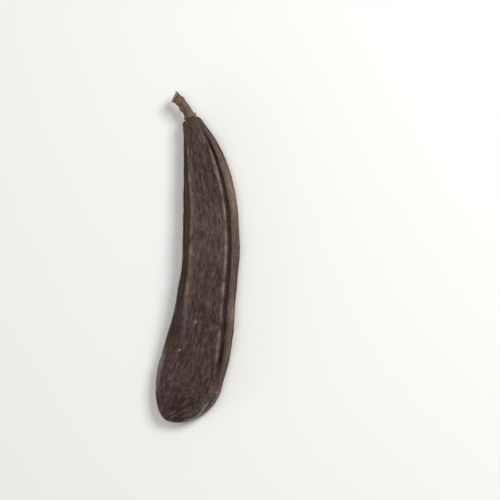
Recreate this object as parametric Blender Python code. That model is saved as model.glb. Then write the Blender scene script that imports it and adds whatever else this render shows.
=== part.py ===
"""A dried carob pod with the stub of its stalk, lying on its flat side.

The pod is swept along a curved middle line, from its round blossom end to the neck
that it hung by. +Y runs towards the stalk, +X across the pod and +Z up. The origin
is under the middle of the whole, on the surface that the pod lies on.
"""

import bpy
import numpy as np
from mathutils import Matrix, noise

MM = 0.001

# Middle line: its length, and its lean to the right of +Y in degrees. These keys and
# those below are pairs of a share of the length, from the round end, and a value.
POD_LENGTH = 120 * MM
LEAN_KEYS = (
    (0.0, 12.3),
    (0.06, 14.5),
    (0.2, 18.2),
    (0.35, 9.8),
    (0.47, 6.4),
    (0.6, 0),
    (0.75, -7),
    (0.9, -15),
    (1.0, -23),
)

# Width and thickness of the pod in mm, and how its two ends round off
WIDTH_KEYS = (
    (0.0, 24.7),
    (0.1, 26.3),
    (0.2, 27.0),
    (0.3, 25.8),
    (0.4, 23.6),
    (0.48, 22.7),
    (0.62, 21.8),
    (0.78, 19.4),
    (0.9, 13.6),
    (0.96, 9.0),
    (1.0, 6.3),
)
THICKNESS_KEYS = (
    (0.0, 5.4),
    (0.1, 7.4),
    (0.26, 8.6),
    (0.6, 9.0),
    (0.85, 7.9),
    (0.95, 6.7),
    (1.0, 5.9),
)
ROUND_END_LEFT = 20.6 * MM
ROUND_END_RIGHT = 17.3 * MM
TIP_ASIDE = 3.4
TIP_ASIDE_FADE = 0.25
BLUNT_TIP = 2.6 * MM
BLUNT_NECK = 1.6 * MM

# The wrinkles smooth out over this length of the neck
SMOOTH_NECK = 7 * MM

# The section is an oval of this power: 2 is an ellipse, and more has fuller corners
SECTION_POWER = 2.9

# Twist along the pod in degrees, and how far its underside stands off the surface in mm
ROLL_KEYS = ((0.0, 1.0), (0.35, -0.5), (0.7, -1.0), (1.0, 4))
ARCH_KEYS = ((0.0, 0.8), (0.15, 0.15), (0.45, 0.6), (0.8, 0.3), (1.0, 1.9))

# Places across the pod run from -1 at its left edge to 1 at its right edge, and
# heights from -1 at its underside to 1 at its top. Depths and rises are in mm.
# A groove runs inside each rim, with a thin ridge along its inner side. At the round end
# the right one moves out towards the edge, and the left one, which is softer, moves in
# and fades. The ridges rise and sink along the pod in uneven beads.
FACE_FROM, FACE_FULL = 0.3, 0.8
RIGHT_GROOVE_KEYS = (
    (0.0, 0.9),
    (0.19, 0.885),
    (0.24, 0.82),
    (0.33, 0.766),
    (0.45, 0.755),
    (1.0, 0.74),
)
LEFT_GROOVE_KEYS = (
    (0.0, 0.5),
    (0.26, 0.52),
    (0.31, 0.57),
    (0.37, 0.67),
    (0.44, 0.7),
    (0.6, 0.72),
    (1.0, 0.76),
)
GROOVE_SPREAD = 0.05
LEFT_SOFTNESS = 1.6
GROOVE_TOP_RIGHT = 1.1
GROOVE_TOP_LEFT = 0.4
GROOVE_UNDER = 0.6
RIDGE_INSIDE = 0.11
RIDGE_SPREAD = 0.045
RIDGE_RISE = 0.35
BEAD_MEAN, BEADS, BEAD_LENGTH, LEAST_BEAD = 0.7, 1.3, 5, 0.15
RIM_OUTSIDE = 0.12
RIM_SPREAD = 0.07
RIM_RISE = 0.3
SEAM_DEPTH = 1.0
SEAM_SPREAD = 0.24

# The grooves and ridges come up over these shares of the length, and fade over these
RELIEF_IN = (0.13, 0.25)
LEFT_RELIEF_IN = (0.22, 0.46)
RELIEF_OUT = (0.88, 0.99)
RIM_IN = (0.02, 0.08)

# The face sinks between the ridges, and the seeds lift it in a row, unevenly
FACE_SINK = 0.35
SINK_EDGES = (0.3, 0.6)
SEED_SPACING = 9.4
SEED_DRIFT, SEED_DRIFT_RATE = 0.25, 0.5
SEED_RISE = 0.3
SEED_UNEVENNESS, SEED_UNEVENNESS_RATE = 1.0, 0.7
SEED_SPREAD = 0.4

# Swells and lengthwise wrinkles of the dried skin: rise, length along and width across,
# in mm. The wrinkles lean a little across the pod, and they are deeper in patches.
EDGE_WAVE, EDGE_WAVE_LENGTH, EDGES_APART = 0.45, 15, 4
SWELL_RISE, SWELL_LENGTH, SWELL_WIDTH = 0.5, 17, 9
WRINKLE_RISE, WRINKLE_LENGTH, WRINKLE_WIDTH = 0.3, 12, 2.7
WRINKLE_LEAN = 0.1
PATCH_LENGTH, PATCH_WIDTH = 23, 8
PATCH_MEAN, PATCH_RANGE = 0.6, 0.8

# Half of the pod's usual width and thickness in mm, where the wrinkles aren't squeezed,
# and the share of its length that stands for its middle
USUAL_HALF_WIDTH = 12
USUAL_HALF_THICKNESS = 4
MIDDLE = 0.5

# Each kind of noise reads its own slice of the same field, so that none repeats another
EDGE_SLICE, SWELL_SLICE, WRINKLE_SLICE, PATCH_SLICE = 2.5, 5, 11, 23
SEED_SLICE, BEAD_SLICE, BREAK_SLICE = 31, 37, 4.2

# Three low spots that the pod rests on, as (share of the length, place across)
FEET = ((0.12, -0.5), (0.17, 0.55), (0.8, 0.2))
FOOT_CORE, FOOT_RADIUS = 1.8 * MM, 9 * MM
FOOT_DEPTH = 0.2 * MM
FOOT_SIDES = (0.15, 0.75)

# Stalk: a knobbed woody stub that stands in a socket in the neck, with a collar round
# its foot and a broken end. Knobs are pairs of a share of its reach and a rise in mm.
STALK_RADIUS = 1.9 * MM
STALK_ROOT = 2.6 * MM
STALK_REACH = 10.5 * MM
STALK_TAPER = 0.16
STALK_TURN = -30
STALK_PITCH = 4
COLLAR_PLACE = 0.4 * MM
COLLAR_SPREAD = 0.6 * MM
COLLAR_RISE = 0.8 * MM
STALK_KNOBS = ((0.46, 0.5), (0.72, 0.35), (0.95, 0.45))
KNOB_SPREAD = 0.09
KNOB_TURN = 9
BARK_ROUGHNESS = 0.12
BARK_LENGTH = 4 * MM
BARK_RIDGES = 1.3
BARK_IN = (0.25, 0.4)
BREAK_IN = (0.75, 1.0)
BREAK_SLANT = 0.8 * MM
BREAK_SIDE = 1.0
BREAK_TEETH = 0.7 * MM
BREAK_TEETH_ROUND = 3
SOCKET_GAP = 0.3 * MM

# Finishes: linear red, green and blue, and roughness
SKIN_COLOUR, SKIN_ROUGHNESS = (0.052, 0.034, 0.028), 0.5
WOOD_COLOUR, WOOD_ROUGHNESS = (0.34, 0.22, 0.15), 0.8

# Fineness of the meshes. Points crowd together where the grooves are.
TIP_RINGS = 11
BODY_RINGS = 62
NECK_RINGS = 4
RING_POINTS = 72
GROOVE_CROWDING = 1.6
CROWDING_SPREAD = 0.12
STALK_RINGS = 30
STALK_SIDES = 18
SOCKET_SIDES = 24
LINE_STEPS = 1000
OVAL_STEPS = 4000
TINY = 1e-12


def clear_scene():
    for obj in list(bpy.data.objects):
        bpy.data.objects.remove(obj)


def through(keys, at):
    """A smooth curve through the (place, value) keys, read at the places given."""
    places, values = np.array(keys, float).T
    slopes = np.gradient(values, places)
    left = np.clip(np.searchsorted(places, at) - 1, 0, len(places) - 2)
    gap = places[left + 1] - places[left]
    t = (at - places[left]) / gap
    return (
        (2 * t**3 - 3 * t**2 + 1) * values[left]
        + (t**3 - 2 * t**2 + t) * gap * slopes[left]
        + (3 * t**2 - 2 * t**3) * values[left + 1]
        + (t**3 - t**2) * gap * slopes[left + 1]
    )


def step_up(low, high, at):
    """0 below low, 1 above high, and smooth between them."""
    t = np.clip((at - low) / (high - low), 0, 1)
    return t * t * (3 - 2 * t)


def bell(at, centre, spread):
    return np.exp(-(((at - centre) / spread) ** 2))


def waves(x, y, z):
    """Smooth noise from about -1 to 1 at each place, which may be arrays."""
    x, y, z = np.broadcast_arrays(x, y, z)
    places = zip(x.ravel().tolist(), y.ravel().tolist(), z.ravel().tolist())
    return np.array([noise.noise(place) for place in places]).reshape(x.shape)


def middle_line(shares):
    """Places and headings of the middle line, at shares of its length from the tip."""
    fine = np.linspace(0, 1, LINE_STEPS + 1)
    heading = np.radians(through(LEAN_KEYS, fine))
    step = POD_LENGTH / LINE_STEPS
    x = (np.cumsum(np.sin(heading)) - np.sin(heading[0])) * step
    y = (np.cumsum(np.cos(heading)) - np.cos(heading[0])) * step
    return np.interp(shares, fine, x), np.interp(shares, fine, y), np.interp(shares, fine, heading)


def oval(angles):
    """Across and height, each from -1 to 1, round a flat oval with full corners."""
    cos, sin = np.cos(angles), np.sin(angles)
    power = 2 / SECTION_POWER
    return np.sign(cos) * np.abs(cos) ** power, np.sign(sin) * np.abs(sin) ** power


def spread_angles(count):
    """Angles, falling, that space points evenly round the pod but closer at the grooves."""
    fine = np.linspace(0, 2 * np.pi, OVAL_STEPS + 1)
    across, height = oval(fine)
    width, thickness = through(WIDTH_KEYS, MIDDLE), through(THICKNESS_KEYS, MIDDLE)
    steps = np.hypot(np.diff(across) * width, np.diff(height) * thickness)
    groove = through(RIGHT_GROOVE_KEYS, MIDDLE)
    steps *= 1 + GROOVE_CROWDING * bell(np.abs(across[1:]), groove, CROWDING_SPREAD)
    run = np.concatenate([[0], np.cumsum(steps)])
    return np.interp(np.arange(count, 0, -1) / count * run[-1], run, fine)


def closing(distance, length):
    """The height of a quarter ellipse that closes an end over this length."""
    t = np.clip(distance / length, 0, 1)
    return np.sqrt(1 - (1 - t) ** 2)


def relief(share, across, height):
    """How far the skin stands out from the plain oval, in mm."""
    along = share * POD_LENGTH / MM
    aside = np.abs(across)
    on_face = step_up(FACE_FROM, FACE_FULL, np.abs(height))
    fading = 1 - step_up(*RELIEF_OUT, share)
    shown = step_up(*RELIEF_IN, share) * fading
    line_shown = np.where(across > 0, shown, step_up(*LEFT_RELIEF_IN, share) * fading)
    rim_shown = step_up(*RIM_IN, share) * fading

    place = np.where(across > 0, through(RIGHT_GROOVE_KEYS, share), through(LEFT_GROOVE_KEYS, share))
    top_depth = np.where(across > 0, GROOVE_TOP_RIGHT, GROOVE_TOP_LEFT)
    softness = np.where(across > 0, 1, LEFT_SOFTNESS)
    groove = np.where(height > 0, top_depth, GROOVE_UNDER) * bell(aside, place, GROOVE_SPREAD * softness)
    bead = BEAD_MEAN + BEADS * waves(along / BEAD_LENGTH, np.sign(across) * EDGES_APART, BEAD_SLICE)
    ridge = bell(aside, place - RIDGE_INSIDE, RIDGE_SPREAD * softness)
    ridge = RIDGE_RISE * ridge * np.clip(bead, LEAST_BEAD, 1)
    rim = RIM_RISE * bell(aside, place + RIM_OUTSIDE, RIM_SPREAD)
    sink = FACE_SINK * (1 - step_up(*SINK_EDGES, aside))

    beat = along / SEED_SPACING
    row = np.cos(2 * np.pi * (beat + SEED_DRIFT * waves(beat * SEED_DRIFT_RATE, 0, SEED_SLICE)))
    seed_size = 1 + SEED_UNEVENNESS * waves(beat * SEED_UNEVENNESS_RATE, 1, SEED_SLICE)
    seed = SEED_RISE * seed_size * (0.5 + 0.5 * row) * bell(across, 0, SEED_SPREAD)

    x, z = across * USUAL_HALF_WIDTH, height * USUAL_HALF_THICKNESS
    swell = SWELL_RISE * waves(along / SWELL_LENGTH, x / SWELL_WIDTH, z / SWELL_WIDTH + SWELL_SLICE)
    lengthwise = along / WRINKLE_LENGTH + WRINKLE_LEAN * x
    crease = waves(lengthwise, x / WRINKLE_WIDTH, z / WRINKLE_WIDTH + WRINKLE_SLICE)
    patch = waves(along / PATCH_LENGTH, x / PATCH_WIDTH, z / PATCH_WIDTH + PATCH_SLICE)
    wrinkle = WRINKLE_RISE * (1 - 2 * np.abs(crease)) * (PATCH_MEAN + PATCH_RANGE * patch)

    face = line_shown * (ridge - groove) + shown * (seed - sink) + rim_shown * rim
    seam = rim_shown * SEAM_DEPTH * bell(height, 0, SEAM_SPREAD)
    return on_face * face - (1 - on_face) * seam + swell + wrinkle


def tip_aside(share):
    """How far left of its middle line the pod lies, in mm: its round end is lopsided."""
    return TIP_ASIDE * (1 - step_up(0, TIP_ASIDE_FADE, share))


def half_width(share, across):
    """The pod's width left or right of its middle, with each edge gently waved by itself."""
    distance = share * POD_LENGTH
    edge = EDGE_WAVE * waves(distance / MM / EDGE_WAVE_LENGTH, np.sign(across) * EDGES_APART, EDGE_SLICE)
    half = (through(WIDTH_KEYS, share) / 2 + edge + tip_aside(share) * np.sign(across)) * MM
    left, right = closing(distance, ROUND_END_LEFT), closing(distance, ROUND_END_RIGHT)
    return half * np.where(across < 0, left, right) * closing(POD_LENGTH - distance, BLUNT_NECK)


def half_thickness(share):
    distance = share * POD_LENGTH
    half = through(THICKNESS_KEYS, share) / 2 * MM
    return half * closing(distance, BLUNT_TIP) * closing(POD_LENGTH - distance, BLUNT_NECK)


def middle_height(share):
    return (through(THICKNESS_KEYS, share) / 2 + through(ARCH_KEYS, share)) * MM


def onto_feet(points):
    """Lowers the underside to three small spots, and cuts them level with the surface."""
    for share, across in FEET:
        x, y, heading = middle_line(share)
        reach = across * through(WIDTH_KEYS, share) / 2 * MM
        centre = np.array([x + reach * np.cos(heading), y - reach * np.sin(heading)])
        away = np.linalg.norm(points[..., :2] - centre, axis=-1)
        under = 1 - step_up(*FOOT_SIDES, points[..., 2] / middle_height(share))
        pull = under * (1 - step_up(FOOT_CORE, FOOT_RADIUS, away))
        points[..., 2] += pull * (-FOOT_DEPTH - points[..., 2])
    points[..., 2] = np.maximum(points[..., 2], 0)
    return points


def pod_points(shares, angles):
    """The skin of the pod as an array of rings, each ring an array of points."""
    share = shares[:, None]
    across, height = oval(angles)
    half_x, half_z = half_width(share, across), half_thickness(share)
    outward_x = np.sign(across) * np.abs(across) ** (SECTION_POWER - 1) * half_z
    outward_z = np.sign(height) * np.abs(height) ** (SECTION_POWER - 1) * half_x
    steepness = np.maximum(np.hypot(outward_x, outward_z), TINY)
    ends = closing(share * POD_LENGTH, 2 * BLUNT_TIP) * closing((1 - share) * POD_LENGTH, SMOOTH_NECK)
    out = relief(share, across, height) * ends * MM
    x = across * half_x - tip_aside(share) * MM + outward_x / steepness * out
    z = height * half_z + outward_z / steepness * out

    roll = np.radians(through(ROLL_KEYS, share))
    x, z = x * np.cos(roll) - z * np.sin(roll), x * np.sin(roll) + z * np.cos(roll)
    line_x, line_y, heading = middle_line(share)
    x, y = line_x + x * np.cos(heading), line_y - x * np.sin(heading)
    return onto_feet(np.stack([x, y, z + middle_height(share)], axis=-1))


def skinned(name, rings, first_tip, last_tip, material):
    """A closed mesh object over rings of points, with a point closing each end."""
    ring_count, side_count = rings.shape[:2]
    corners = np.arange(ring_count * side_count).reshape(ring_count, side_count)
    after = np.roll(corners, -1, axis=1)
    faces = []
    for near, near_next, far, far_next in zip(corners[:-1], after[:-1], corners[1:], after[1:]):
        faces += np.stack([near, near_next, far_next, far], axis=1).tolist()
    first, last = ring_count * side_count, ring_count * side_count + 1
    faces += [(first, b, a) for a, b in zip(corners[0].tolist(), after[0].tolist())]
    faces += [(last, a, b) for a, b in zip(corners[-1].tolist(), after[-1].tolist())]
    mesh = bpy.data.meshes.new(name)
    mesh.from_pydata([*rings.reshape(-1, 3).tolist(), first_tip, last_tip], [], faces)
    mesh.materials.append(material)
    mesh.shade_smooth()
    obj = bpy.data.objects.new(name, mesh)
    bpy.context.scene.collection.objects.link(obj)
    return obj


def finish(name, colour, roughness):
    material = bpy.data.materials.new(name)
    material.use_nodes = True
    shader = material.node_tree.nodes["Principled BSDF"]
    shader.inputs["Base Color"].default_value = (*colour, 1)
    shader.inputs["Roughness"].default_value = roughness
    return material


def build_pod(material):
    """The pod, with its rings close together where its two ends round off."""
    tip = (ROUND_END_LEFT + ROUND_END_RIGHT) / 2 / POD_LENGTH
    blunt = BLUNT_NECK / POD_LENGTH
    tip_turns = np.linspace(0, np.pi / 2, TIP_RINGS + 1)[1:-1]
    neck_turns = np.linspace(np.pi / 2, 0, NECK_RINGS + 1)[1:-1]
    tip_shares = tip * (1 - np.cos(tip_turns))
    neck_shares = 1 - blunt * (1 - np.cos(neck_turns))
    shares = np.concatenate([tip_shares, np.linspace(tip, 1 - blunt, BODY_RINGS), neck_shares])
    rings = pod_points(shares, spread_angles(RING_POINTS))
    first, last = pod_points(np.array([0.0, 1.0]), np.zeros(1))[:, 0]
    return skinned("pod", rings, first.tolist(), last.tolist(), material)


def neck_matrix():
    """The frame at the end of the neck: +Z runs out along the stalk."""
    x, y, heading = (float(value) for value in middle_line(1.0))
    turn = Matrix.Rotation(-heading, 4, "Z") @ Matrix.Rotation(np.radians(STALK_PITCH - 90), 4, "X")
    return Matrix.Translation((x, y, float(middle_height(1.0)))) @ turn


def stalk_rings():
    """Rings of the stalk in the neck's frame: a straight root, then bent and knobbed."""
    run = np.linspace(-STALK_ROOT, STALK_REACH, STALK_RINGS)[:, None]
    angles = np.arange(STALK_SIDES) / STALK_SIDES * 2 * np.pi
    free = np.clip(run / STALK_REACH, 0, 1)
    radius = STALK_RADIUS * (1 - STALK_TAPER * free) + 0 * angles
    radius += COLLAR_RISE * bell(run, COLLAR_PLACE, COLLAR_SPREAD)
    for place, rise in STALK_KNOBS:
        one_side = 0.5 + 0.5 * np.cos(angles - KNOB_TURN * place)
        radius += rise * MM * bell(free, place, KNOB_SPREAD) * one_side
    bark = waves(run / BARK_LENGTH, np.cos(angles) * BARK_RIDGES, np.sin(angles) * BARK_RIDGES)
    radius *= 1 + BARK_ROUGHNESS * bark * step_up(*BARK_IN, free)

    bend = np.radians(STALK_TURN) * free
    round_x, round_y = np.cos(angles) * BREAK_TEETH_ROUND, np.sin(angles) * BREAK_TEETH_ROUND
    teeth = BREAK_TEETH * waves(round_x, round_y, BREAK_SLICE)
    broken = (BREAK_SLANT * np.cos(angles - BREAK_SIDE) + teeth) * step_up(*BREAK_IN, free)
    forward = run * np.cos(bend / 2) + broken - radius * np.cos(angles) * np.sin(bend)
    aside = run * np.sin(bend / 2) + radius * np.cos(angles) * np.cos(bend)
    return np.stack([aside, radius * np.sin(angles), forward], axis=-1)


def build_stalk(neck, material):
    rings = stalk_rings()
    root, end = rings[0].mean(axis=0), rings[-1].mean(axis=0)
    stalk = skinned("stalk", rings, root.tolist(), end.tolist(), material)
    stalk.matrix_world = neck
    return stalk


def cut_socket(pod, neck):
    """A hole in the end of the neck that the root of the stalk stands in, clear all round."""
    depth = STALK_ROOT + SOCKET_GAP
    height = depth + 2 * BLUNT_NECK
    radius = STALK_RADIUS + SOCKET_GAP
    bpy.ops.mesh.primitive_cylinder_add(vertices=SOCKET_SIDES, radius=radius, depth=height)
    cutter = bpy.context.object
    cutter.name = "socket_cutter"
    cutter.matrix_world = neck @ Matrix.Translation((0, 0, height / 2 - depth))
    cutter.hide_render = True
    cutter.display_type = "WIRE"
    cut = pod.modifiers.new("stalk socket", "BOOLEAN")
    cut.operation = "DIFFERENCE"
    cut.object = cutter
    return cutter


def set_over_origin(solids, cutter):
    """Slides everything so that the middle of its outline lies over the origin."""
    places = np.array([obj.matrix_world @ vertex.co for obj in solids for vertex in obj.data.vertices])
    middle = (places.min(axis=0) + places.max(axis=0)) / 2
    for obj in (*solids, cutter):
        obj.matrix_world = Matrix.Translation((-middle[0], -middle[1], 0)) @ obj.matrix_world


def main():
    clear_scene()
    skin = finish("dried pod skin", SKIN_COLOUR, SKIN_ROUGHNESS)
    wood = finish("dry stalk wood", WOOD_COLOUR, WOOD_ROUGHNESS)
    pod = build_pod(skin)
    neck = neck_matrix()
    stalk = build_stalk(neck, wood)
    cutter = cut_socket(pod, neck)
    bpy.context.view_layer.update()
    set_over_origin((pod, stalk), cutter)


main()
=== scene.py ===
import bpy
import numpy as np
from mathutils import Matrix, Vector, kdtree, noise


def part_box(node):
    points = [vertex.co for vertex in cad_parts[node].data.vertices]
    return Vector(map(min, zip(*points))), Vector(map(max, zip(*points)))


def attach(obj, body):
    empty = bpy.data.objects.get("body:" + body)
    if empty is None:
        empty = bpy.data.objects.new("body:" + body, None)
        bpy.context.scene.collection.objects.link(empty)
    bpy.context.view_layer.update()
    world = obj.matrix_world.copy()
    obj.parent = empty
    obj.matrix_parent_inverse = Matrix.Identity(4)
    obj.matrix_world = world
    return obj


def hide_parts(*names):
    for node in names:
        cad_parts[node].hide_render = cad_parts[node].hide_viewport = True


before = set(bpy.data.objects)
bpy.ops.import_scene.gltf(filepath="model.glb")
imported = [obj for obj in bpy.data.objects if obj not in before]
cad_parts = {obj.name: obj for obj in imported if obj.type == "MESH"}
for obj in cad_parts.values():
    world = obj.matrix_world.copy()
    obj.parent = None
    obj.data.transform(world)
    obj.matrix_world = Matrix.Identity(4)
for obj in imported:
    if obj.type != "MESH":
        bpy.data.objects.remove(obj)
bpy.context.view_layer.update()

# The pod: the ripe fruit of the carob tree, dried hard on the branch. It grew as one
# piece, a flat leathery shell round pulp and seeds, with a groove inside each rim and a
# seam along each narrow side. This is its skin, with the creases that drying gave it.

MM = 0.001

POD_LENGTH = 120 * MM
LEAN_KEYS = (
    (0.0, 12.3),
    (0.06, 14.5),
    (0.2, 18.2),
    (0.35, 9.8),
    (0.47, 6.4),
    (0.6, 0),
    (0.75, -7),
    (0.9, -15),
    (1.0, -23),
)
WIDTH_KEYS = (
    (0.0, 24.7),
    (0.1, 26.3),
    (0.2, 27.0),
    (0.3, 25.8),
    (0.4, 23.6),
    (0.48, 22.7),
    (0.62, 21.8),
    (0.78, 19.4),
    (0.9, 13.6),
    (0.96, 9.0),
    (1.0, 6.3),
)
THICKNESS_KEYS = (
    (0.0, 5.4),
    (0.1, 7.4),
    (0.26, 8.6),
    (0.6, 9.0),
    (0.85, 7.9),
    (0.95, 6.7),
    (1.0, 5.9),
)
ROLL_KEYS = ((0.0, 1.0), (0.35, -0.5), (0.7, -1.0), (1.0, 4))
ARCH_KEYS = ((0.0, 0.8), (0.15, 0.15), (0.45, 0.6), (0.8, 0.3), (1.0, 1.9))
ROUND_END_LEFT, ROUND_END_RIGHT = 20.6 * MM, 17.3 * MM
TIP_ASIDE, TIP_ASIDE_FADE = 3.4, 0.25
BLUNT_TIP, BLUNT_NECK = 2.6 * MM, 1.6 * MM
SMOOTH_TIP, SMOOTH_NECK = 5.2 * MM, 7 * MM
SECTION_POWER = 2.9
USUAL_HALF_WIDTH, USUAL_HALF_THICKNESS = 12, 4
MIDDLE = 0.5
LINE_STEPS, OVAL_STEPS = 1000, 4000
TINY = 1e-12


def through(keys, at):
    """A smooth curve through the (place, value) keys, read at the places given."""
    places, values = np.array(keys, float).T
    slopes = np.gradient(values, places)
    left = np.clip(np.searchsorted(places, at) - 1, 0, len(places) - 2)
    gap = places[left + 1] - places[left]
    t = (at - places[left]) / gap
    return (
        (2 * t**3 - 3 * t**2 + 1) * values[left]
        + (t**3 - 2 * t**2 + t) * gap * slopes[left]
        + (3 * t**2 - 2 * t**3) * values[left + 1]
        + (t**3 - t**2) * gap * slopes[left + 1]
    )


def step_up(low, high, at):
    """0 below low, 1 above high, and smooth between them."""
    t = np.clip((at - low) / (high - low), 0, 1)
    return t * t * (3 - 2 * t)


def bell(at, centre, spread):
    return np.exp(-(((at - centre) / spread) ** 2))


def waves(x, y, z):
    """Smooth noise from about -1 to 1 at each place, which may be arrays."""
    x, y, z = np.broadcast_arrays(x, y, z)
    places = zip(x.ravel().tolist(), y.ravel().tolist(), z.ravel().tolist())
    return np.array([noise.noise(place) for place in places]).reshape(x.shape)


def middle_line(shares):
    """Places and headings of the middle line, at shares of its length from the tip."""
    fine = np.linspace(0, 1, LINE_STEPS + 1)
    heading = np.radians(through(LEAN_KEYS, fine))
    step = POD_LENGTH / LINE_STEPS
    x = (np.cumsum(np.sin(heading)) - np.sin(heading[0])) * step
    y = (np.cumsum(np.cos(heading)) - np.cos(heading[0])) * step
    return tuple(np.interp(shares, fine, values) for values in (x, y, heading))


def oval(angles):
    """Across and height, each from -1 to 1, round a flat oval with full corners."""
    cos, sin = np.cos(angles), np.sin(angles)
    power = 2 / SECTION_POWER
    return np.sign(cos) * np.abs(cos) ** power, np.sign(sin) * np.abs(sin) ** power


def closing(distance, length):
    """The height of a quarter ellipse that closes an end over this length."""
    t = np.clip(distance / length, 0, 1)
    return np.sqrt(1 - (1 - t) ** 2)


EDGE_WAVE, EDGE_WAVE_LENGTH, EDGES_APART, EDGE_SLICE = 0.45, 15, 4, 2.5


def tip_aside(share):
    """How far left of its middle line the pod lies, in mm: its round end is lopsided."""
    return TIP_ASIDE * (1 - step_up(0, TIP_ASIDE_FADE, share))


def half_width(share, across):
    """The pod's width left or right of its middle, with each edge gently waved by itself."""
    distance = share * POD_LENGTH
    side = np.sign(across)
    edge = EDGE_WAVE * waves(distance / MM / EDGE_WAVE_LENGTH, side * EDGES_APART, EDGE_SLICE)
    half = (through(WIDTH_KEYS, share) / 2 + edge + tip_aside(share) * side) * MM
    left, right = closing(distance, ROUND_END_LEFT), closing(distance, ROUND_END_RIGHT)
    return half * np.where(across < 0, left, right) * closing(POD_LENGTH - distance, BLUNT_NECK)


def half_thickness(share):
    distance = share * POD_LENGTH
    half = through(THICKNESS_KEYS, share) / 2 * MM
    return half * closing(distance, BLUNT_TIP) * closing(POD_LENGTH - distance, BLUNT_NECK)


def middle_height(share):
    return (through(THICKNESS_KEYS, share) / 2 + through(ARCH_KEYS, share)) * MM


# The main relief, in mm: a groove inside each rim with a thin ridge along it, a furrowed
# seam on each narrow side, a face that sinks and is lifted by the row of seeds, and the
# broad swells and wrinkles of the shrunken shell. Places across run from 0 at the middle
# to 1 at the edge.
FACE_FROM, FACE_FULL = 0.3, 0.8
RIGHT_GROOVE_KEYS = (
    (0.0, 0.9),
    (0.19, 0.885),
    (0.24, 0.82),
    (0.33, 0.766),
    (0.45, 0.755),
    (1.0, 0.74),
)
LEFT_GROOVE_KEYS = (
    (0.0, 0.5),
    (0.26, 0.52),
    (0.31, 0.57),
    (0.37, 0.67),
    (0.44, 0.7),
    (0.6, 0.72),
    (1.0, 0.76),
)
GROOVE_SPREAD, LEFT_SOFTNESS = 0.05, 1.6
GROOVE_TOP_RIGHT, GROOVE_TOP_LEFT, GROOVE_UNDER = 1.1, 0.4, 0.6
RIDGE_INSIDE, RIDGE_SPREAD, RIDGE_RISE = 0.11, 0.045, 0.35
BEAD_MEAN, BEADS, BEAD_LENGTH, BEAD_SLICE, LEAST_BEAD = 0.7, 1.3, 5, 37, 0.15
RIM_OUTSIDE, RIM_SPREAD, RIM_RISE = 0.12, 0.07, 0.3
SEAM_DEPTH, SEAM_SPREAD = 1.0, 0.24
RELIEF_IN, RELIEF_OUT, RIM_IN = (0.13, 0.25), (0.88, 0.99), (0.02, 0.08)
LEFT_RELIEF_IN = (0.22, 0.46)
# How much of the groove's painted shade and of the ridge's painted highlight the left side gets
LEFT_GROOVE_SHADE, LEFT_RIDGE_HIGHLIGHT = 0.4, 0.75
# The right rim's outer side is tanned: down the side wall, and out on the face past the
# groove. Each place is a share of the length, a half length and how tan it is.
TAN_DOWN_WALL, TAN_PAST_GROOVE, TAN_LEAST = (-0.6, -0.25), (0.12, 0.2), 0.1
TAN_PLACES = ((0.385, 0.04, 0.9), (0.272, 0.018, 0.5), (0.74, 0.09, 0.8))
# Where the right ridge is rubbed pale and carries a painted highlight: mm along the pod,
# half length in mm, and how much
RUBBED_AND_SHEEN = ((54.6, 2.8, 1.1), (46, 2.6, 0.7), (37.6, 1.5, 0.5), (34, 1.5, 0.8), (30.6, 1.6, 0.8))
RUBBED_AND_SHEEN_LEAST, RUBBED_AND_SHEEN_UP_TO = 0.12, (56, 66)
# Painted shade: the flat margin outside the left groove, which slopes away from the light,
# is painted dark, and so is the deepest stretch of the right groove, near the round end
MARGIN_IN, MARGIN_PAST_GROOVE = (0.2, 0.31), (-0.08, 0.05)
DEEP_PLACE, DEEP_SPREAD = 0.252, 0.032
FACE_SINK, SINK_EDGES = 0.35, (0.3, 0.6)
SEED_SPACING, SEED_RISE, SEED_SPREAD, SEED_SLICE = 9.4, 0.3, 0.4, 31
SEED_DRIFT, SEED_DRIFT_RATE = 0.25, 0.5
SEED_UNEVENNESS, SEED_UNEVENNESS_RATE = 1.0, 0.7
SWELL_RISE, SWELL_LENGTH, SWELL_WIDTH, SWELL_SLICE = 0.5, 17, 9, 5
WRINKLE_RISE, WRINKLE_LENGTH, WRINKLE_WIDTH, WRINKLE_SLICE = 0.3, 12, 2.7, 11
WRINKLE_LEAN = 0.1
PATCH_LENGTH, PATCH_WIDTH, PATCH_SLICE = 23, 8, 23
PATCH_MEAN, PATCH_RANGE = 0.6, 0.8


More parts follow.
